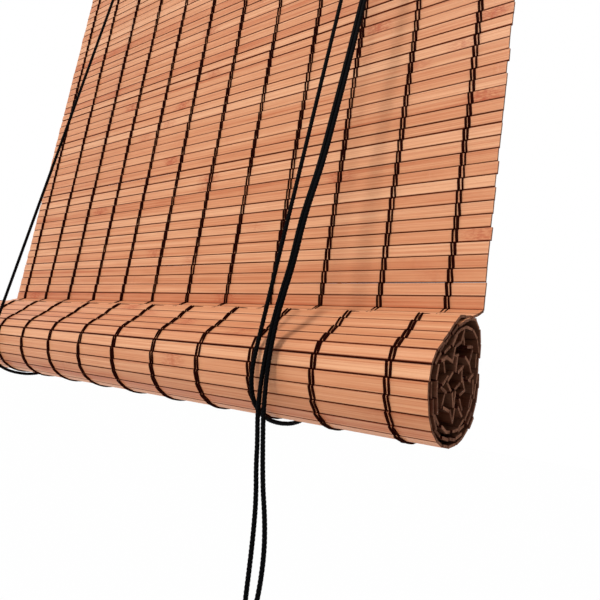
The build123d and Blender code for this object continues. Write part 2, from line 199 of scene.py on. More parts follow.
class Bench:
    """The node tree of a material or of the world, under construction."""

    def __init__(self, owner: Owner) -> None:
        """Empty the owner's node tree.

        Args:
            owner: The material or the world.
        """
        owner.use_nodes = True
        self.owner = owner
        self.tree = owner.node_tree
        self.tree.nodes.clear()

    def node(
        self, kind: str, settings: dict | None = None, sockets: dict | None = None
    ) -> bpy.types.Node:
        """Add a node.

        Args:
            kind: The node's type, without its first word, ShaderNode.
            settings: Its properties, set first.
            sockets: Values or links of its inputs, by name or number.

        Returns:
            The node.
        """
        made = self.tree.nodes.new("ShaderNode" + kind)
        for name, value in (settings or {}).items():
            setattr(made, name, value)
        for name, value in (sockets or {}).items():
            self.feed(made.inputs[name], value)
        return made

    def feed(self, socket: bpy.types.NodeSocket, value: object) -> None:
        """Link or set one input.

        Args:
            socket: The input.
            value: A signal to link, or a number, colour or vector.
        """
        if isinstance(value, Signal):
            self.tree.links.new(value.socket, socket)
        elif isinstance(value, tuple) and len(value) == 3 and socket.type == "RGBA":
            socket.default_value = (*value, 1.0)
        else:
            socket.default_value = value

    def out(self, node: bpy.types.Node, name: str | int = 0) -> Signal:
        """One output of a node as a signal."""
        return Signal(self, node.outputs[name])


class FinishBench(Bench):
    """A material's node tree under construction."""

    def __init__(self, name: str) -> None:
        """Start a material with its output and its surface shader.

        Args:
            name: The material's name.
        """
        super().__init__(bpy.data.materials.new(name))
        self.surface = self.node("BsdfPrincipled")
        self.node("OutputMaterial", None, {"Surface": self.out(self.surface)})

    def noise(
        self,
        stretch: Point,
        detail: float = 3,
        roughness: float = 0.55,
        shift: Signal | None = None,
        scale: float = 1.0,
    ) -> Signal:
        """Noise from about 0 to 1, on Object coordinates.

        Args:
            stretch: Scale along each axis.
            detail: How many finer layers it has.
            roughness: How strong those layers are.
            shift: A value added to the place, such as a slat's own seed.
            scale: Scale over all.

        Returns:
            The noise.
        """
        spot = self.out(self.node("TexCoord"), "Object")
        spot = self.out(self.node("Mapping", None, {"Vector": spot, "Scale": stretch}))
        if shift is not None:
            spot = self.out(self.node("VectorMath", {"operation": "ADD"}, {0: spot, 1: shift}))
        sockets = {"Vector": spot, "Scale": scale, "Detail": detail, "Roughness": roughness}
        return self.out(self.node("TexNoise", None, sockets))

    def own(self, name: str) -> Signal:
        """A number that the mesh carries as an attribute."""
        return self.out(self.node("Attribute", {"attribute_name": name}), "Fac")

    def mix(self, factor: Value, first: Signal | Colour, second: Signal | Colour) -> Signal:
        """Mix two colours.

        Args:
            factor: Share of the second one.
            first: The first one.
            second: The second one.

        Returns:
            The mixed colour.
        """
        settings = {"data_type": "RGBA", "clamp_factor": True}
        sockets = {MIX_FACTOR: factor, MIX_FIRST: first, MIX_SECOND: second}
        return self.out(self.node("Mix", settings, sockets), MIX_COLOUR)

    def dress(
        self, colour: Signal, roughness: Value, height: Signal, relief: float, **plain: float
    ) -> Material:
        """Connect the surface.

        Args:
            colour: Base colour.
            roughness: Roughness.
            height: Height of the relief, from 0 to 1.
            relief: Its depth in metres.
            plain: Other inputs, with _ for a space.

        Returns:
            The material.
        """
        self.feed(self.surface.inputs["Base Color"], colour)
        self.feed(self.surface.inputs["Roughness"], roughness)
        for name, value in plain.items():
            self.feed(self.surface.inputs[name.replace("_", " ")], value)
        sockets = {"Height": height, "Strength": 1.0, "Distance": relief}
        self.feed(self.surface.inputs["Normal"], self.out(self.node("Bump", None, sockets)))
        return self.owner


@dataclass(frozen=True)
class BambooFinish:
    """Stained split bamboo: skin, sawn edges and cut ends, with their patterns' stretch."""

    pale: Colour = srgb(232, 172, 130)
    tan: Colour = srgb(217, 149, 106)
    ruddy: Colour = srgb(190, 104, 62)
    node_mark: Colour = srgb(176, 80, 46)
    edge: Colour = srgb(88, 24, 4)
    edge_light: Colour = srgb(128, 56, 26)
    end_pale: Colour = srgb(150, 102, 78)
    end_dark: Colour = srgb(82, 46, 30)
    # Painted shade of the roll's inner faces and buried slats.
    painted_roll_shade: Colour = srgb(46, 8, 2)
    internode: float = 0.33
    fibre: Point = (9, 1500, 1500)
    streak: Point = (3, 700, 700)
    broad: Point = (2, 260, 260)
    patch: Point = (22, 160, 160)
    mottle: Point = (260, 900, 900)
    ragged: Point = (70, 300, 300)
    edge_fibre: Point = (12, 1600, 1600)
    speck: Point = (200, 4200, 4200)
    blotch: Point = (60, 500, 500)

    def skin(self) -> Material:
        """The wide faces, with grain along the slat and marks at the nodes.

        Returns:
            The material.
        """
        bench = FinishBench("bamboo_skin")
        seed = bench.own("seed")
        tone = bench.own("tone")
        fibre = bench.noise(self.fibre, 4, 0.6, seed)
        streak = bench.noise(self.streak, shift=seed)
        broad = bench.noise(self.broad, 2, shift=seed)
        patch = bench.noise(self.patch, 2, shift=seed)
        depth = tone + (streak - 0.5) * 1.1 + (broad - 0.5) * 0.8 + (patch - 0.5) * 0.4
        colour = bench.mix(depth.between(0.1, 0.55), self.pale, self.tan)
        colour = bench.mix(depth.between(0.5, 1.05), colour, self.ruddy)
        colour = bench.mix((fibre - 0.42).between(0.0, 0.22) * 0.45, colour, self.ruddy)
        spot = bench.out(bench.node("TexCoord"), "Object")
        along = bench.out(bench.node("SeparateXYZ", None, {0: spot}), 0)
        near = abs((along - bench.own("node_x")).wrapped(-self.internode / 2, self.internode / 2))
        mottle = bench.noise(self.mottle, 4, 0.7, seed)
        ragged = (bench.noise(self.ragged, 2, shift=seed) - 0.5) * 0.014
        band = (1 - (near + ragged).between(0.003, 0.019)) * bench.own("node_depth")
        colour = bench.mix(band * mottle.between(0.34, 0.62) * 0.85, colour, self.node_mark)
        ridge = 1 - near.between(0.0005, 0.0022)
        colour = bench.mix(ridge * bench.own("node_depth") * 0.35, colour, self.node_mark)
        # Each slat's skin darkens towards its long edges in the edge colour, by its own random amount.
        rim = abs(bench.own("across")).between(0.84, 1.0)
        rim_weight = (seed * 7).sine() * 0.5 + 0.5
        colour = bench.mix(rim * (0.1 + rim_weight * 0.55 + (streak - 0.5) * 0.5), colour, self.edge)
        # Painted shade: the roll's inner faces and buried slats darken towards a deep red-brown.
        colour = bench.mix(bench.own("painted_shade").between(0.45, 0.9) * 0.9, colour, self.painted_roll_shade)
        rough = 0.46 + (fibre - 0.5) * 0.22 + band * 0.1
        height = fibre * 0.6 + streak * 0.4 + ridge * 0.5
        return bench.dress(colour, rough, height, 0.00025, Specular_IOR_Level=0.28)

    def sawn_edge(self) -> Material:
        """The narrow long sides, darker where stain has gathered.

        Returns:
            The material.
        """
        bench = FinishBench("bamboo_edge")
        fibre = bench.noise(self.edge_fibre, shift=bench.own("seed"))
        colour = bench.mix(fibre.between(0.3, 0.75), self.edge, self.edge_light)
        # Painted shade inside the roll darkens the sawn edges as well.
        colour = bench.mix(bench.own("painted_shade").between(0.2, 0.6), colour, self.painted_roll_shade)
        return bench.dress(colour, 0.85, fibre, 0.0002, Specular_IOR_Level=0.1)

    def cut_end(self) -> Material:
        """Sawn ends of the slats, speckled with the cut fibre bundles.

        Returns:
            The material.
        """
        bench = FinishBench("bamboo_cut_end")
        speck = bench.noise(self.speck, 3, 0.7, bench.own("seed"))
        blotch = bench.noise(self.blotch, 2, shift=bench.own("seed"))
        depth = speck * 0.7 + blotch * 0.5 + (bench.own("tone") - 0.5) * 0.3
        colour = bench.mix(depth.between(0.42, 0.78), self.end_pale, self.end_dark)
        return bench.dress(colour, 0.9, speck, 0.0003, Specular_IOR_Level=0.15)

    def all_faces(self) -> list[Material]:
        """The three materials in the order of SlatFace."""
        return [self.skin(), self.sawn_edge(), self.cut_end()]


@dataclass(frozen=True)
class TwistedFinish:
    """Twisted twine or cord, its plies drawn along the piece's own UV map."""

    name: str
    crest: Colour
    # Darker colour in the grooves between the plies, a painted shade.
    groove: Colour
    plies: int
    lay_length: float
    roughness: float
    relief: float
    gloss: float
    fuzz: Point = (900, 900, 900)

    def made(self) -> Material:
        """Draw the plies and the fuzz.

        Returns:
            The material.
        """
        bench = FinishBench(self.name)
        lay = bench.out(bench.node("UVMap", {"uv_map": "lay"}))
        parts = bench.node("SeparateXYZ", None, {0: lay})
        along, around = bench.out(parts, 0), bench.out(parts, 1)
        turn = (along / self.lay_length - around) * (2 * math.pi * self.plies)
        ply = turn.sine() * 0.5 + 0.5
        fibre = (turn * 5 + along * 900).sine() * 0.5 + 0.5
        fuzz = bench.noise(self.fuzz, 3, 0.7)
        # Painted shade: the colour darkens into the grooves between the plies, mixed with random fuzz.
        colour = bench.mix((ply * 0.7 + fuzz * 0.5).between(0.35, 0.95), self.groove, self.crest)
        rough = self.roughness + (fuzz - 0.5) * 0.25
        height = ply * 0.75 + fibre * 0.15 + fuzz * 0.3
        return bench.dress(colour, rough, height, self.relief, Specular_IOR_Level=self.gloss)


@dataclass(frozen=True)
class WoodFinish:
    """Stained and lacquered wood with its grain along one axis."""

    name: str
    light: Colour
    dark: Colour
    stretch: Point
    rings: float
    roughness: float

    def made(self) -> Material:
        """Draw the grain and its pores.

        Returns:
            The material.
        """
        bench = FinishBench(self.name)
        broad = bench.noise(self.stretch, 2, scale=0.22)
        fine = bench.noise(self.stretch, 4, 0.65, scale=3.5)
        ring = (broad * self.rings).sine() * 0.5 + 0.5
        depth = ring * 0.55 + fine * 0.6
        colour = bench.mix(depth.between(0.3, 0.95), self.light, self.dark)
        pore = fine.between(0.56, 0.66)
        colour = bench.mix(pore * 0.35, colour, self.dark)
        rough = self.roughness + pore * 0.15
        return bench.dress(colour, rough, fine, 0.00015, Coat_Weight=0.25, Coat_Roughness=0.25)


@dataclass(frozen=True)
class MetalFinish:
    """Plated or plain metal with fine rolling or turning marks."""

    name: str
    colour: Colour
    dull: Colour
    roughness: float
    stretch: Point
    cloud: Point = (60, 60, 60)

    def made(self) -> Material:
        """Draw the marks and the dull clouds.

        Returns:
            The material.
        """
        bench = FinishBench(self.name)
        mark = bench.noise(self.stretch)
        cloud = bench.noise(self.cloud)
        colour = bench.mix(cloud.between(0.35, 0.7) * 0.6, self.colour, self.dull)
        rough = self.roughness + (mark - 0.5) * 0.16 + (cloud - 0.5) * 0.15
        return bench.dress(colour, rough, mark, 0.00004, Metallic=1.0)


@dataclass(frozen=True)
class NylonFinish:
    """Natural moulded nylon."""

    colour: Colour = srgb(226, 220, 203)
    rim_weight: Colour = srgb(196, 184, 160)
    cloud: Point = (300, 300, 300)

    def made(self) -> Material:
        """Draw the faint clouds.

        Returns:
            The material.
        """
        bench = FinishBench("sheave_nylon")
        cloud = bench.noise(self.cloud)
        colour = bench.mix(cloud.between(0.35, 0.7), self.colour, self.rim_weight)
        return bench.dress(colour, 0.42 + cloud * 0.1, cloud, 0.00005, Subsurface_Weight=0.1)


def placed(name: str, data: bpy.types.ID) -> Piece:
    """Link a new object into the scene.

    Args:
        name: Its name.
        data: Its mesh, curve, camera or light.

    Returns:
        The object.
    """
    made = bpy.data.objects.new(name, data)
    bpy.context.scene.collection.objects.link(made)
    return made


def meshed(name: str, points: np.ndarray, faces: Sequence[Sequence[int]]) -> Piece:
    """Make an object with a mesh.

    Args:
        name: Its name.
        points: The mesh's points, in metres.
        faces: The mesh's faces, as numbers of points.

    Returns:
        The object, at the origin.
    """
    mesh = bpy.data.meshes.new(name)
    mesh.from_pydata(points.tolist(), [], faces)
    return placed(name, mesh)


def set_finish(piece: Piece, *materials: Material) -> None:
    """Give a piece its materials, on the slots it has or on new ones.

    Args:
        piece: The piece.
        materials: Its materials in the order of its slots.
    """
    if piece.material_slots:
        for slot, material in zip(piece.material_slots, materials):
            slot.material = material
    else:
        for material in materials:
            piece.data.materials.append(material)


def stand_in(piece: Piece, node: str, slot: str, *materials: Material) -> None:
    """Dress a piece and put it in place of a node of the frame.

    Args:
        piece: The piece.
        node: The node's name.
        slot: Name of the record's material slot; not used.
        materials: The piece's materials.
    """
    set_finish(piece, *materials)
    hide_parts(node)


@dataclass
class SlatPlace:
    """Where one slat lies in the section, and how it differs from the next."""

    start: tuple[float, ...]
    end: tuple[float, ...]
    left_end: float
    right_end: float
    # A buried slat is in painted shade all over; lined sets the painted shade on a rolled slat's inner
    # face.
    buried: bool
    lined: float


@dataclass
class SlatForm:
    """The one slat that every slat is copied from, and how much the copies differ.

    A slat turns by a spread of neat_tilt or buried_tilt degrees, narrows by up to
    hanging_loss or rolled_loss of its width, and has its node within node_reach of the middle.
    """

    length: float = 0.6
    width: float = 8.6 * MM
    thickness: float = 1.7 * MM
    flare: float = 0.7 * MM
    spans: int = 20
    rounding: float = 0.28 * MM
    neat_tilt: float = 1.6
    buried_tilt: float = 8.0
    hanging_loss: float = 0.13
    rolled_loss: float = 0.04
    node_reach: float = 0.165
    tone_mean: float = 0.42
    tone_spread: float = 0.2
    node_fade: float = 1.6
    seed_range: float = 90.0
    slope_spread: float = 0.25
    lift_share: float = 0.8
    corners: np.ndarray = field(default_factory=lambda: np.zeros((0, 3)))
    faces: list[tuple[int, ...]] = field(default_factory=list)
    face_kinds: list[int] = field(default_factory=list)

    def model(self) -> SlatForm:
        """Model the slat by hand operators and keep its points and faces.

        Returns:
            This form, filled in.
        """
        bpy.ops.object.select_all(action="DESELECT")
        bpy.context.tool_settings.mesh_select_mode = (False, True, False)
        bpy.ops.mesh.primitive_cube_add(size=1)
        slat = bpy.context.object
        slat.scale = (self.length, self.thickness, self.width)
        bpy.ops.object.transform_apply(location=False, rotation=False, scale=True)
        rounded = {"offset": self.rounding, "segments": 2, "affect": "EDGES"}
        self._shape_long_edges(slat, bpy.ops.mesh.bevel, **rounded)
        self._shape_long_edges(slat, bpy.ops.mesh.subdivide, number_cuts=self.spans - 1)
        mesh = slat.data
        points = np.array([v.co for v in mesh.vertices])
        self.faces = [tuple(p.vertices) for p in mesh.polygons]
        self.face_kinds = [self._kind(p.normal) for p in mesh.polygons]
        points[:, 2] *= 1 + self.inner(points) * self.flare / self.width
        self.corners = points
        bpy.data.objects.remove(slat)
        bpy.data.meshes.remove(mesh)
        return self

    def inner(self, points: np.ndarray) -> np.ndarray:
        """How near the inner face points lie, from 0 on the outer face to 1."""
        return np.clip(points[:, 1] / self.thickness + 0.5, 0, 1)

    def _shape_long_edges(self, slat: Piece, operator: Callable, **settings: object) -> None:
        """Apply an edit operator to the edges that run the slat's whole length.

        Args:
            slat: The slat.
            operator: The operator.
            settings: Its settings.
        """
        mesh = slat.data
        for group in (mesh.polygons, mesh.edges, mesh.vertices):
            group.foreach_set("select", [False] * len(group))
        for edge in mesh.edges:
            a, b = (mesh.vertices[i].co for i in edge.vertices)
            edge.select = abs(a.x - b.x) > self.length * LONG_SHARE
        bpy.ops.object.mode_set(mode="EDIT")
        operator(**settings)
        bpy.ops.object.mode_set(mode="OBJECT")

    @staticmethod
    def _kind(normal: Vector) -> int:
        """The material place of a face.

        Args:
            normal: The face's normal.

        Returns:
            The place's number.
        """
        if abs(normal.x) > FACING_SHARE:
            return SlatFace.CUT_END.value
        return SlatFace.SKIN.value if abs(normal.y) > SKIN_SHARE else SlatFace.EDGE.value

    def laid(self, name: str, places: Sequence[SlatPlace], seed: int, wave: float) -> Piece:
        """Lay copies of the slat at all places, as one piece.

        Args:
            name: The piece's name.
            places: Where the slats lie.
            seed: Seed of the differences between slats.
            wave: How far a slat strays from straight, in metres.

        Returns:
            The piece, at the origin.
        """
        rng = np.random.default_rng(seed)
        count = len(self.corners)
        points = np.zeros((count * len(places), 3))
        numbers = {key: np.zeros(count * len(places)) for key in SLAT_NUMBERS}
        along = self.corners[:, 0] / self.length + 0.5
        inner = self.inner(self.corners)
        for i, place in enumerate(places):
            rows = slice(i * count, (i + 1) * count)
            y0, z0 = place.start
            y1, z1 = place.end
            tilt = rng.normal(0, math.radians(self.buried_tilt if place.buried else self.neat_tilt))
            course = math.atan2(z1 - z0, y1 - y0) + tilt
            down = np.array([math.cos(course), math.sin(course)])
            inward = -np.array([down[1], -down[0]])
            x = place.left_end + along * (place.right_end - place.left_end)
            phase, slope = rng.uniform(0, 2 * math.pi), rng.normal(0, self.slope_spread)
            stray = wave * (np.sin(phase + along * rng.uniform(2, 6)) + slope * (along - 0.5))
            lift = wave * self.lift_share * np.sin(rng.uniform(0, 6.3) + along * rng.uniform(3, 7))
            loss = self.rolled_loss if place.lined else self.hanging_loss
            narrow = 1 - loss * rng.uniform(0, 1) ** 3 * (1 - inner)
            depth = self.corners[:, 1] + lift
            height = self.corners[:, 2] * narrow + stray
            middle = np.array([(y0 + y1) / 2, (z0 + z1) / 2])
            points[rows, 0] = x
            points[rows, 1] = middle[0] + inward[0] * depth - down[0] * height
            points[rows, 2] = middle[1] + inward[1] * depth - down[1] * height
            # The last number is painted shade: all over on buried slats, on the inner face of the
            # roll's other slats.
            own = (
                np.clip(rng.normal(self.tone_mean, self.tone_spread), 0, 1),
                rng.uniform(0, self.seed_range),
                rng.uniform(-self.node_reach, self.node_reach),
                rng.uniform(0, 1) ** self.node_fade,
                np.clip(self.corners[:, 2] / (self.width / 2), -1, 1),
                1.0 if place.buried else inner * place.lined,
            )
            for key, value in zip(SLAT_NUMBERS, own):
                numbers[key][rows] = value
        faces = [tuple(v + i * count for v in face) for i in range(len(places)) for face in self.faces]
        piece = meshed(name, points, faces)
        piece.data.polygons.foreach_set("material_index", self.face_kinds * len(places))
        for key, values in numbers.items():
            layer = piece.data.attributes.new(key, "FLOAT", "POINT")
            layer.data.foreach_set("value", values.astype(np.float32))
        piece.data.update()
        return piece


def spaced(points: np.ndarray, step: float) -> np.ndarray:
    """Space a line's points evenly.

    Args:
        points: The line's points.
        step: Spacing in metres, about.

    Returns:
        The evenly spaced points, with both ends kept.
    """
    runs = np.linalg.norm(np.diff(points, axis=0), axis=1)
    walked = np.concatenate(([0.0], np.cumsum(runs)))
    marks = np.linspace(0, walked[-1], max(2, int(round(walked[-1] / step)) + 1))
    return np.stack([np.interp(marks, walked, points[:, k]) for k in range(3)], axis=1)


@dataclass(frozen=True)
class TubeSection:
    """Section of a twisted strand: its radius, its lobes and how fast they turn."""

    radius: float
    lobes: int = 0
    lobe_depth: float = 0.0
    lay_length: float = 1.0
    sides: int = 6
    flatness: float = 1.0

    def swept(self, name: str, lines: Iterable[np.ndarray], facing: Point = (0, 0, 1)) -> Piece:
        """Sweep the section along lines, as one piece with a UV map that follows them.

        Args:
            name: The piece's name.
            lines: The centrelines.
            facing: Direction across which a flattened section is thin.

        Returns:
            The piece, at the origin.
        """
        points, faces, lays = [], [], []
        base = 0
        steps = np.arange(self.sides + 1) / self.sides
        angle = steps[:-1] * 2 * math.pi
        for line in lines:
            count = len(line)
            tangents = np.gradient(line, axis=0)
            tangents /= np.linalg.norm(tangents, axis=1)[:, None]
            walked = np.concatenate(([0.0], np.cumsum(np.linalg.norm(np.diff(line, axis=0), axis=1))))
            across = self._carried(tangents, np.array(facing, float))
            beside = np.cross(tangents, across)
            swing = 2 * math.pi * walked[:, None] / self.lay_length
            ripple = np.abs(np.cos((angle - swing) * self.lobes / 2))
            reach = self.radius * (1 - self.lobe_depth * (1 - ripple))
            thin = (reach * np.cos(angle) * self.flatness)[..., None] * across[:, None]
            wide = (reach * np.sin(angle))[..., None] * beside[:, None]
            points.append((line[:, None] + thin + wide).reshape(-1, 3))
            low = base + np.arange(count * self.sides).reshape(count, self.sides)
            beyond = np.roll(low, -1, axis=1)
            quads = np.stack((low[:-1], beyond[:-1], beyond[1:], low[1:]), axis=-1)
            faces += [*quads.reshape(-1, 4).tolist(), low[0, ::-1].tolist(), low[-1].tolist()]
            u0, u1 = np.repeat(walked[:-1], self.sides), np.repeat(walked[1:], self.sides)
            v0, v1 = np.tile(steps[:-1], count - 1), np.tile(steps[1:], count - 1)
            lays.append(np.stack((u0, v0, u0, v1, u1, v1, u1, v0), axis=1).ravel())
            lays += [np.tile((end, 0.0), self.sides) for end in (walked[0], walked[-1])]
            base += count * self.sides
        piece = meshed(name, np.concatenate(points), faces)
        layer = piece.data.uv_layers.new(name="lay")
        layer.data.foreach_set("uv", np.concatenate(lays).astype(np.float32))
        piece.data.polygons.foreach_set("use_smooth", [True] * len(faces))
        piece.data.update()
        return piece

    @staticmethod
    def _carried(tangents: np.ndarray, facing: np.ndarray) -> np.ndarray:
        """Carry a cross direction along a line without twisting it.

        Args:
            tangents: The line's direction at each point.
            facing: The cross direction wanted at its start.

        Returns:
            The cross direction at each point.
        """
        carried = np.zeros_like(tangents)
        here = facing - tangents[0] * facing.dot(tangents[0])
        if np.linalg.norm(here) < ALMOST_PARALLEL:
            here = np.cross(tangents[0], SPARE_FACING)
        for i, tangent in enumerate(tangents):
            here = here - tangent * here.dot(tangent)
            here /= np.linalg.norm(here)
            carried[i] = here
        return carried


@dataclass
class Section:
    """The blind's section across the slats: the hanging mat and the roll's turns, in mm.

    A fold ring is a count of slats, their mean radius and how far they swing about it. The
    swing and the radius vary from fold to fold with the beats, in radians.
    """

    pitch: float = 9.15
    thickness: float = 1.7
    mat_y: float = -19.05
    mat_top: float = -14.0
    mat_slats: int = 64
    roll_forward: float = 30.3
    roll_drop: float = 48.35
    roll_radius: float = 36.6
    turn_step: float = 3.9
    neat_turn: float = 985.0
    coarse_step: float = 0.5
    fine_step: float = 1e-7
    neck_angles: tuple[float, ...] = (60, 70, 79, 80)
    front_dip: Swell = (42, 24, -6.3)
    swells: tuple[Swell, ...] = ((145, 42, 3.0), (250, 50, 1.2))
    crest_swells: tuple[Swell, ...] = ((327, 24, 12.8), (683, 28, 10.2))
    fold_sag: Swell = (340, 38, 9.0)
    fold_share: float = 0.8
    fold_unevenness: float = 0.25
    fold_beat: float = 1.7
    drift_beat: float = 0.55
    fold_rings: tuple[tuple[int, float, float], ...] = ((18, 18.5, 8.2), (10, 10.5, 7.4), (4, 5.5, 3.0))

    @property
    def mat_bottom(self) -> float:
        """Height of the mat's lower edge."""
        return self.mat_top - self.mat_slats * self.pitch

    @property
    def roll_middle(self) -> Spot:
        """The roll's middle, as (y, z)."""
        return (self.mat_y - self.roll_forward, self.mat_bottom - self.roll_drop)

    def mat_hinges(self) -> list[Spot]:
        """Hinge points of the hanging mat, from its top."""
        return [(self.mat_y, self.mat_top - i * self.pitch) for i in range(self.mat_slats + 1)]

    @staticmethod
    def _bump(angle: float, swell: Swell) -> float:
        """Height of a smooth local swelling at an angle."""
        middle, width, height = swell
        return height * math.exp(-(((angle - middle) / width) ** 2))

    def turn_radius(self, angle: float) -> float:
        """Distance of the neat turns from the roll's middle.

        Args:
            angle: Angle from the roll's top, in degrees, over all turns.

        Returns:
            The distance.
        """
        here = angle % 360
        radius = self.roll_radius - self.turn_step * angle / 360
        radius += self._bump(here, self.front_dip) + self._bump(here - 360, self.front_dip)
        radius += sum(self._bump(here, swell) for swell in self.swells)
        for swell in self.crest_swells:
            radius += self._bump(angle, swell)
        return radius

    def _sagged(self, radius: float, angle: float) -> float:
        """Radius of a fold that fills the hollow under the roll's crest."""
        return radius + self._bump(angle % 360, self.fold_sag)

    def on_roll(self, angle: float, radius: float) -> Spot:
        """Point of the roll's section.

        Args:
            angle: Angle from the roll's top, in degrees.
            radius: Distance from its middle.

        Returns:
            The point.
        """
        turn = math.radians(angle)
        y, z = self.roll_middle
        return (y - radius * math.sin(turn), z + radius * math.cos(turn))

    def _next_angle(self, start: Spot, angle: float, radius_at: Callable[[float], float]) -> float:
        """Angle at which the next slat ends on a given curve.

        Args:
            start: Where the slat starts.
            angle: Angle of its start.
            radius_at: Radius of the curve at an angle.

        Returns:
            The angle of its end.
        """

        def is_short(at: float) -> bool:
            """Whether the slat would be too short."""
            return math.dist(start, self.on_roll(at, radius_at(at))) < self.pitch

        far = angle
        while is_short(far):
            far += self.coarse_step
        near = far - self.coarse_step
        while far - near > self.fine_step:
            middle = (near + far) / 2
            near, far = (middle, far) if is_short(middle) else (near, middle)
        return far

    def roll_hinges(self) -> list[Spot]:
        """Hinge points of the rolled part, from the mat's lower edge to the core.

        Returns:
            The points, one more than the slats.
        """
        y, z = self.mat_y, self.mat_bottom
        points = [(y, z)]
        for tip in self.neck_angles:
            y -= self.pitch * math.sin(math.radians(tip))
            z -= self.pitch * math.cos(math.radians(tip))
            points.append((y, z))
        middle_y, middle_z = self.roll_middle
        angle = math.degrees(math.atan2(middle_y - y, z - middle_z))
        while angle < self.neat_turn:
            angle = self._next_angle(points[-1], angle, self.turn_radius)
            points.append(self.on_roll(angle, self.turn_radius(angle)))
        fold = 0
        for count, mean, swing in self.fold_rings:
            for _ in range(count):
                side = 1 if fold % 2 else -1
                share = self.fold_share + self.fold_unevenness * math.sin(self.fold_beat * fold)
                radius = mean + side * swing / 2 * share + math.sin(self.drift_beat * fold)
                curve = partial(self._sagged, radius)
                angle = self._next_angle(points[-1], angle, curve)
                points.append(self.on_roll(angle, curve(angle)))
                fold += 1
        return points


def in_metres(place: Iterable[float]) -> tuple[float, ...]:
    """A place in mm as metres."""
    return tuple(v * MM for v in place)


def hang(piece: Piece) -> None:
    """Attach a hanging piece to the root body and give it a mesh of its own.

    Args:
        piece: The piece.
    """
    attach(piece, "root")
    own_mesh(piece)


@dataclass
class SlatWork:
    """The mat's and the roll's slats."""

    section: Section
    finish: list[Material]
    half_length: float = 0.3
    end_jitter: float = 0.35 * MM
    core_jitter: float = 0.9 * MM
    first_turn: int = 30
    mat_wave: float = 0.09 * MM
    roll_wave: float = 0.05 * MM
    end_seeds: tuple[int, int] = (11, 12)
    form_seeds: tuple[int, int] = (21, 22)

    def _places(self, hinges: Sequence[Spot], seed: int, rolled: bool) -> list[SlatPlace]:
        """Slat places between hinge points.

        Args:
            hinges: The hinge points in mm.
            seed: Seed of the uneven ends.
            rolled: Whether these are the roll's slats, with painted shade on their inner faces.

        Returns:
            One place for each slat.
        """
        rng = np.random.default_rng(seed)
        places = []
        for i, (start, end) in enumerate(zip(hinges, hinges[1:])):
            buried = rolled and i >= self.first_turn
            jitter = self.core_jitter if buried else self.end_jitter
            left, right = np.clip(rng.normal(0, jitter, 2), -2 * jitter, 2 * jitter)
            reach = (float(left) - self.half_length, float(right) + self.half_length)
            places.append(SlatPlace(in_metres(start), in_metres(end), *reach, buried, float(rolled)))
        return places

    def build(self) -> list[Piece]:
        """Build the two pieces in place of the plain solids.

        Returns:
            The mat's and the roll's slats.
        """
        form = SlatForm().model()
        places = self._places(self.section.mat_hinges(), self.end_seeds[0], False)
        mat = form.laid("mat_slats", places, self.form_seeds[0], self.mat_wave)
        places = self._places(self.section.roll_hinges(), self.end_seeds[1], True)
        roll = form.laid("roll_slats", places, self.form_seeds[1], self.roll_wave)
        for piece, node in ((mat, "slat_mat"), (roll, "slat_roll")):
            stand_in(piece, node, "bamboo", *self.finish)
        hang(mat)
        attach(roll, "roll")
        return [mat, roll]


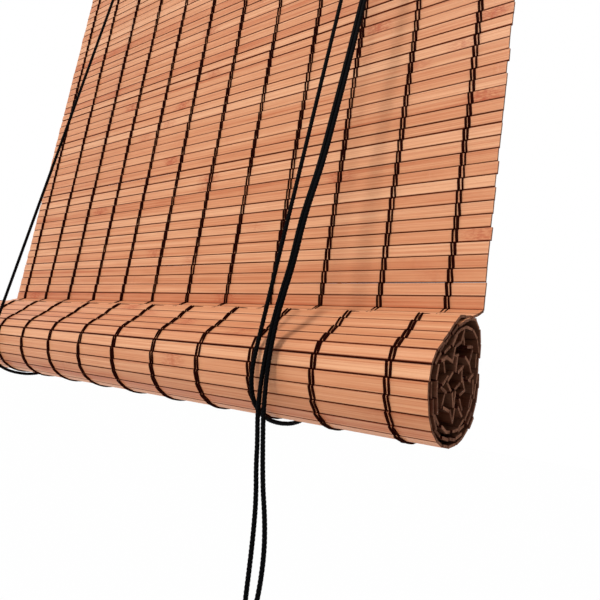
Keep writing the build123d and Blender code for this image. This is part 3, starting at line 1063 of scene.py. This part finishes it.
@dataclass
class WarpTwine:
    """Twelve columns of paired strands, on the mat and round the roll."""

    section: Section
    finish: Material
    columns: int = 12
    first_x: float = 276.3
    spacing: float = 50.5
    pair_pitch: float = 2.6
    mat_strand: float = 1.12
    roll_strand: float = 0.95
    stand: float = 0.55
    neck_stands: tuple[float, ...] = (-0.25, -0.75, -0.75, -0.3)
    rise_run: float = 0.75
    shoulder: float = 0.9
    slant: float = 1.0
    roll_hinges: int = 25
    flatness: float = 0.6
    drift: tuple[float, float] = (0.6, 1.3)
    sway: float = 0.12
    seed: int = 5

    def _over_slats(
        self,
        hinges: Sequence[Spot],
        x: float,
        outward: float,
        slant: float,
        rng: np.random.Generator,
        stands: Sequence[float] = (),
    ) -> list[Point]:
        """Line of a strand that crosses slats and dips between them.

        Args:
            hinges: The slats' hinge points, in mm.
            x: The strand's place along them.
            outward: 1 on the outer face, -1 on the inner one.
            slant: How far it drifts on each slat.
            rng: Source of the small differences.
            stands: How far it stands off the first slats, if not by stand.

        Returns:
            The line's points, in mm.
        """
        points: list[Point] = [(x, *hinges[0])]
        for number, (start, end) in enumerate(zip(hinges, hinges[1:])):
            stand = stands[number] if number < len(stands) else self.stand
            crown = self.section.thickness / 2 + stand
            reach = math.dist(start, end)
            along = ((end[0] - start[0]) / reach, (end[1] - start[1]) / reach)
            out = (along[1] * outward, -along[0] * outward)
            drift = slant * rng.uniform(*self.drift)
            sway = rng.normal(0, self.sway)
            for run, height, side in (
                (self.rise_run, crown * self.shoulder, -0.5),
                (reach * 0.33, crown, -0.22),
                (reach * 0.67, crown, 0.22),
                (reach - self.rise_run, crown * self.shoulder, 0.5),
            ):
                y = start[0] + along[0] * run + out[0] * height
                z = start[1] + along[1] * run + out[1] * height
                points.append((x + drift * side + sway, y, z))
            points.append((x, end[0], end[1]))
        return points

    def build(self) -> list[Piece]:
        """Build each column's mat strands and roll strands.

        Returns:
            The pieces.
        """
        rng = np.random.default_rng(self.seed)
        mat = self.section.mat_hinges()
        roll = self.section.roll_hinges()[: self.roll_hinges]
        pieces = []
        for number in range(1, self.columns + 1):
            x = self.first_x - (number - 1) * self.spacing
            mat_lines, roll_lines = [], []
            for side in TwineSide:
                place = x + side.value * self.pair_pitch / 2
                back = self._over_slats(mat, place, -1, -self.slant, rng)
                front = self._over_slats(mat, place, 1, self.slant, rng)
                top = (place, self.section.mat_y, self.section.mat_top + self.stand)
                mat_lines.append(np.array(back[:0:-1] + [top] + front[1:]) * MM)
                round_roll = self._over_slats(roll, place, 1, self.slant, rng, self.neck_stands)
                roll_lines.append(np.array(round_roll[:-1]) * MM)
            for kind, lines, radius in (
                ("warp", mat_lines, self.mat_strand),
                ("roll", roll_lines, self.roll_strand),
            ):
                tube = TubeSection(radius * MM, flatness=self.flatness)
                piece = tube.swept(f"{kind}_twine_{number:02d}", lines, facing=(0, -1, 0))
                stand_in(piece, f"{kind}_thread_{number:02d}", "warp_twine", self.finish)
                if kind == "warp":
                    hang(piece)
                else:
                    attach(piece, "roll")
                pieces.append(piece)
        return pieces


# The pull cords from under the lock to over the wooden pull, in mm.
PULL_LEFT: tuple[Point, ...] = (
    (220.1, -35.7, -96), (218.2, -41.5, -145), (215.4, -48.5, -200), (212.4, -55.5, -258),
    (209.0, -62.0, -316), (206.4, -67.6, -374), (204.9, -72.4, -428), (203.9, -77.8, -476),
    (204.3, -84.2, -519), (203.6, -89.0, -543), (201.6, -90.4, -560), (199.9, -91.1, -588),
    (197.0, -91.8, -606), (194.3, -92.2, -626), (192.6, -92.4, -655), (194.4, -92.5, -682),
    (198.3, -92.3, -700), (200.3, -92.2, -714), (203.6, -92.2, -728), (205.8, -92.3, -742),
    (207.6, -92.4, -762), (208.9, -92.5, -786), (210.4, -92.4, -806),
)
PULL_RIGHT: tuple[Point, ...] = (
    (221.4, -32.6, -95), (220.9, -40.2, -142), (218.0, -47.6, -198), (215.2, -54.5, -256),
    (211.9, -61.2, -314), (209.0, -67.0, -372), (207.6, -71.6, -426), (206.6, -76.8, -473),
    (206.9, -83.2, -516), (206.4, -88.6, -541), (204.6, -90.2, -558), (202.6, -91.0, -587),
    (199.9, -91.7, -605), (197.0, -92.1, -625), (196.2, -92.3, -655), (199.0, -92.4, -682),
    (202.6, -92.3, -700), (205.3, -92.2, -713), (208.6, -92.3, -726), (212.2, -92.4, -737),
    (215.2, -92.4, -749), (217.2, -92.5, -762), (217.6, -92.5, -780), (215.2, -92.4, -799),
)


@dataclass
class CordWork:
    """The two lift cords and the two pull cords, along the lines of the solids, in mm."""

    section: Section
    finish: Material
    radius: float = 1.2
    cord_x: float = 182.3
    exit_x: float = 220.3
    exit_z: float = -66.0
    run_z: float = -22.8
    entry_groove_y: float = -30.1
    outer_groove_y: float = -34.1
    run_turn: float = 25.0
    loop_radius: float = 40.6
    near_sheave: float = 14.4
    pull_x: float = 212.0
    pull_y: float = -92.4
    pull_top: float = -816.0
    pull_neck: float = 10.0
    pull_apart: float = 2.5
    exit_drop: float = 10.0
    fullness: float = 1.32
    lobe_depth: float = 0.22
    step: float = 0.75
    path_share: int = 6

    @staticmethod
    def smooth_line(name: str, route: Sequence[Point]) -> np.ndarray:
        """Smooth line of a cord's route.

        Args:
            name: The cord's name.
            route: The route's points, in mm.

        Returns:
            Points along its NURBS spline, in metres.
        """
        curve = bpy.data.curves.new(name + "_route", "CURVE")
        curve.dimensions = "3D"
        spline = curve.splines.new("NURBS")
        spline.points.add(len(route) - 1)
        for point, place in zip(spline.points, route):
            point.co = (*in_metres(place), 1)
        spline.order_u = 3
        spline.use_endpoint_u = True
        spline.resolution_u = 12
        holder = placed(name + "_route", curve)
        bpy.context.view_layer.update()
        line = bpy.data.meshes.new_from_object(holder)
        points = np.array([v.co for v in line.vertices])
        bpy.data.objects.remove(holder)
        bpy.data.curves.remove(curve)
        bpy.data.meshes.remove(line)
        return points

    def lift_route(self, x: float, groove_y: float) -> list[Point]:
        """Route of a lift cord, from the batten round the roll to the lock.

        Args:
            x: The cord's place along the slats.
            groove_y: The sheave groove that it runs in.

        Returns:
            The route's points.
        """
        roll_y, roll_z = self.section.roll_middle
        turn_z = self.run_z - self.run_turn
        lean = math.asin(self.loop_radius / math.dist((roll_y, roll_z), (groove_y, turn_z)))
        lean += math.atan2(groove_y - roll_y, turn_z - roll_z)
        bottom = roll_z - self.loop_radius
        corner_y = groove_y - (turn_z - bottom) * math.tan(lean)
        back_y = roll_y + self.loop_radius
        under = back_y - corner_y
        hanging = (
            (back_y, self.section.mat_top),
            (back_y, bottom + under),
            (back_y, bottom),
            (corner_y, bottom),
            (corner_y + under * math.sin(lean), bottom + under * math.cos(lean)),
            (groove_y - self.run_turn * math.sin(lean), turn_z - self.run_turn * math.cos(lean)),
            (groove_y, turn_z),
        )
        along = (
            (x, self.run_z),
            (x + self.near_sheave, self.run_z),
            (self.exit_x - self.near_sheave, self.run_z),
            (self.exit_x, self.run_z),
            (self.exit_x, self.run_z - self.near_sheave),
            (self.exit_x, self.exit_z),
        )
        return [(x, *spot) for spot in hanging] + [(far, groove_y, z) for far, z in along]

    def pull_routes(self) -> dict[str, list[Point]]:
        """Routes of the pull cords, from the lock to the wooden pull.

        Returns:
            Each cord's points, by its node.
        """
        routes = {}
        for name, side, groove_y, drawn in (
            ("pull_cord_left", -1, self.outer_groove_y, PULL_LEFT),
            ("pull_cord_right", 1, self.entry_groove_y, PULL_RIGHT),
        ):
            x = self.pull_x + side * self.pull_apart / 2
            routes[name] = [
                (self.exit_x, groove_y, self.exit_z),
                (self.exit_x, groove_y, self.exit_z - self.exit_drop),
                *drawn,
                (x, self.pull_y, self.pull_top),
                (x, self.pull_y, self.pull_top - self.pull_neck),
            ]
        return routes

    def build(self, nodes: dict[str, Piece]) -> list[Piece]:
        """Build the four cords.

        Args:
            nodes: The frame's own nodes; not used.

        Returns:
            The pieces.
        """
        routes = {
            "lift_cord_left": self.lift_route(-self.cord_x, self.outer_groove_y),
            "lift_cord_right": self.lift_route(self.cord_x, self.entry_groove_y),
            **self.pull_routes(),
        }
        tube = TubeSection(self.radius * self.fullness * MM, 3, self.lobe_depth, CORD_LAY, 12)
        pieces = []
        for node, route in routes.items():
            line = spaced(self.smooth_line(node, route), self.step * MM)
            piece = tube.swept(node.replace("_cord", "_cord_twisted"), [line])
            pieces.append(piece)
            stand_in(piece, node, "black_cord", self.finish)
            if node.startswith("lift"):
                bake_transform(piece)
                continue
            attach(piece, "root")
            in_metres(route[0])
            2 * self.radius * MM
        return pieces


@dataclass
class Fittings:
    """The headrail, its plates, the cord lock and the small pieces, shaped as their solids."""

    nodes: dict[str, Piece]

    def dress(self, cord: Material) -> int:
        """Give each node its finish.

        Args:
            cord: The cords' finish, for the knots.

        Returns:
            How many nodes were dressed.
        """
        rail_tones, pull_tones = (
            (srgb(186, 118, 78), srgb(126, 68, 40)),
            (srgb(178, 108, 66), srgb(112, 58, 32)),
        )
        rail = WoodFinish("headrail_wood", *rail_tones, (5, 160, 160), 40, 0.42).made()
        pull = WoodFinish("pull_wood", *pull_tones, (240, 240, 26), 30, 0.32).made()
        zinc, pin, brass = (
            MetalFinish(name, colour, dull, roughness, stretch).made()
            for name, colour, dull, roughness, stretch in (
                ("zinc_plate", (0.42, 0.42, 0.41), (0.28, 0.28, 0.28), 0.4, (40, 2400, 2400)),
                ("turned_steel", (0.72, 0.72, 0.72), (0.55, 0.55, 0.56), 0.25, (3000, 200, 3000)),
                ("cast_brass", (0.70, 0.50, 0.22), (0.50, 0.34, 0.16), 0.38, (700, 700, 700)),
            )
        )
        nylon = NylonFinish().made()
        wanted = {
            rail: ("headrail_batten", "headrail_strip"),
            pull: ("cord_pull",),
            brass: ("lock_cam",),
            nylon: ("pulley_sheave", "lock_entry_sheave", "lock_exit_sheave"),
            pin: ("pulley_axle", "lock_axles", "lock_cam_pin"),
            zinc: (
                "strip_screws",
                "fitting_screws",
                "hanger_screws",
                "hanger_plate_left",
                "hanger_plate_right",
                "pulley_bracket",
                "lock_housing",
            ),
            cord: ("cord_knot_left", "cord_knot_right", "pull_knot"),
        }
        for material, names in wanted.items():
            for name in names:
                set_finish(self.nodes[name], material)
        return sum(map(len, wanted.values()))


@dataclass
class Studio:
    """Camera at the photograph's place, two suns, a soft lamp and a pale floor."""

    camera_place: Point = (0.4247, -0.35775, -0.67415)
    yaw: float = -38.55
    pitch: float = 10.38
    roll: float = 9.17
    focal_px: float = 563.3
    frame_px: float = 600.0
    sensor_mm: float = 36.0
    clip_start: float = 0.01
    world_strength: float = 0.38
    floor_z: float = -1.5
    floor_size: float = 60.0
    floor_colour: Colour = (0.9, 0.9, 0.9)
    floor_white: float = 0.97

    def build(self) -> None:
        """Set the view, the lights, the world and the floor."""
        self._camera()
        self._world()
        self._floor()
        self._light("key_sun", "SUN", (-0.03, -0.75, 0.85), 1.74, angle=math.radians(11))
        self._light("back_sun", "SUN", (-0.45, 0.8, 0.35), 0.9, angle=math.radians(20))
        self._light("fill_lamp", "AREA", (0.6, -2.6, 0.7), 10.5, (0.0, 0.0, -0.5), size=1.8)
        bpy.context.scene.view_settings.view_transform = "Standard"

    def _camera(self) -> None:
        """Place the camera."""
        yaw, pitch, roll = (math.radians(a) for a in (self.yaw, self.pitch, self.roll))
        level_share = math.cos(pitch)
        ahead = Vector((math.sin(yaw) * level_share, math.cos(yaw) * level_share, math.sin(pitch)))
        level = Vector((math.cos(yaw), -math.sin(yaw), 0))
        over = level.cross(ahead)
        right = level * math.cos(roll) + over * math.sin(roll)
        up = over * math.cos(roll) - level * math.sin(roll)
        data = bpy.data.cameras.new("camera")
        data.sensor_width = self.sensor_mm
        data.lens = self.focal_px / self.frame_px * self.sensor_mm
        data.clip_start = self.clip_start
        camera = placed("camera", data)
        turn = Matrix((right, up, -ahead)).transposed().to_4x4()
        camera.matrix_world = Matrix.Translation(self.camera_place) @ turn
        bpy.context.scene.camera = camera

    @staticmethod
    def _fill(owner: Owner, lighting: Shader, seen: Shader, share: float = 1.0) -> None:
        """Fill a node tree with a shader that lights and one that is seen.

        Args:
            owner: The material or the world.
            lighting: The shader that lights.
            seen: The one for the rays that see it.
            share: Its share for those rays.
        """
        bench = Bench(owner)
        rays = bench.node("LightPath")
        total = bench.out(rays, "Is Camera Ray")
        for name in ("Is Glossy Ray", "Is Transmission Ray"):
            total = total.greatest(bench.out(rays, name))
        shaders = (bench.out(bench.node(*shader)) for shader in (lighting, seen))
        choice = bench.node("MixShader", None, dict(enumerate((total * share, *shaders))))
        end = "OutputWorld" if isinstance(owner, bpy.types.World) else "OutputMaterial"
        bench.node(end, None, {"Surface": bench.out(choice)})

    def _world(self) -> None:
        """White where it is seen, soft where it lights."""
        world = bpy.data.worlds.new("studio")
        bpy.context.scene.world = world
        soft, white = (
            ("Background", None, {"Color": WHITE, "Strength": strength})
            for strength in (self.world_strength, 1.0)
        )
        self._fill(world, soft, white)

    def _floor(self) -> None:
        """A pale floor that is white where it is seen and still takes a shadow."""
        bpy.ops.object.select_all(action="DESELECT")
        bpy.ops.mesh.primitive_plane_add(size=self.floor_size, location=(0, 0, self.floor_z))
        floor = bpy.context.object
        floor.name = "floor"
        material = bpy.data.materials.new("floor")
        plain = ("BsdfDiffuse", None, {"Color": self.floor_colour})
        white = ("Emission", None, {"Color": WHITE, "Strength": 1.0})
        self._fill(material, plain, white, self.floor_white)
        set_finish(floor, material)

    @staticmethod
    def _light(
        name: str, kind: str, place: Point, energy: float, target: Point = (0, 0, 0), **form: float
    ) -> None:
        """Add a light.

        Args:
            name: The light's name.
            kind: Its type, SUN or AREA.
            place: Where it stands.
            energy: Its power in watts, for a sun in watts per square metre.
            target: What it points at.
            form: A sun's angle or a lamp's size.
        """
        data = bpy.data.lights.new(name, kind)
        data.energy = energy
        for setting, value in form.items():
            setattr(data, setting, value)
        light = placed(name, data)
        light.location = place
        aim = Vector(target) - Vector(place)
        light.rotation_euler = aim.to_track_quat("-Z", "Y").to_euler()


def main() -> None:
    """Build the blind over its frame, piece by piece."""
    logging.basicConfig(level=logging.INFO, format="%(name)s: %(message)s")
    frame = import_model()
    section = Section()
    Studio().build()
    # The twine's dye colour, and the painted shade of its ply grooves.
    twine_dye_and_groove_shade = ("warp_twine", srgb(52, 12, 6), srgb(16, 3, 1))
    twine = TwistedFinish(*twine_dye_and_groove_shade, 2, TWINE_LAY, roughness=0.9, relief=0.0002, gloss=0.02).made()
    # The cord's black, and the painted shade of its ply grooves.
    black = ("black_cord", srgb(8, 8, 11), srgb(0, 0, 0))
    cord = TwistedFinish(*black, 3, CORD_LAY, roughness=0.6, relief=0.00012, gloss=0.03).made()
    for piece in (
        *CordWork(section, cord).build(frame["nodes"]),
        *SlatWork(section, BambooFinish().all_faces()).build(),
        *WarpTwine(section, twine).build(),
    ):
        LOG.info("%s: %d faces", piece.name, len(piece.data.polygons))
    LOG.info("%d nodes dressed", Fittings(frame["nodes"]).dress(cord))


if __name__ == "__main__":
    main()
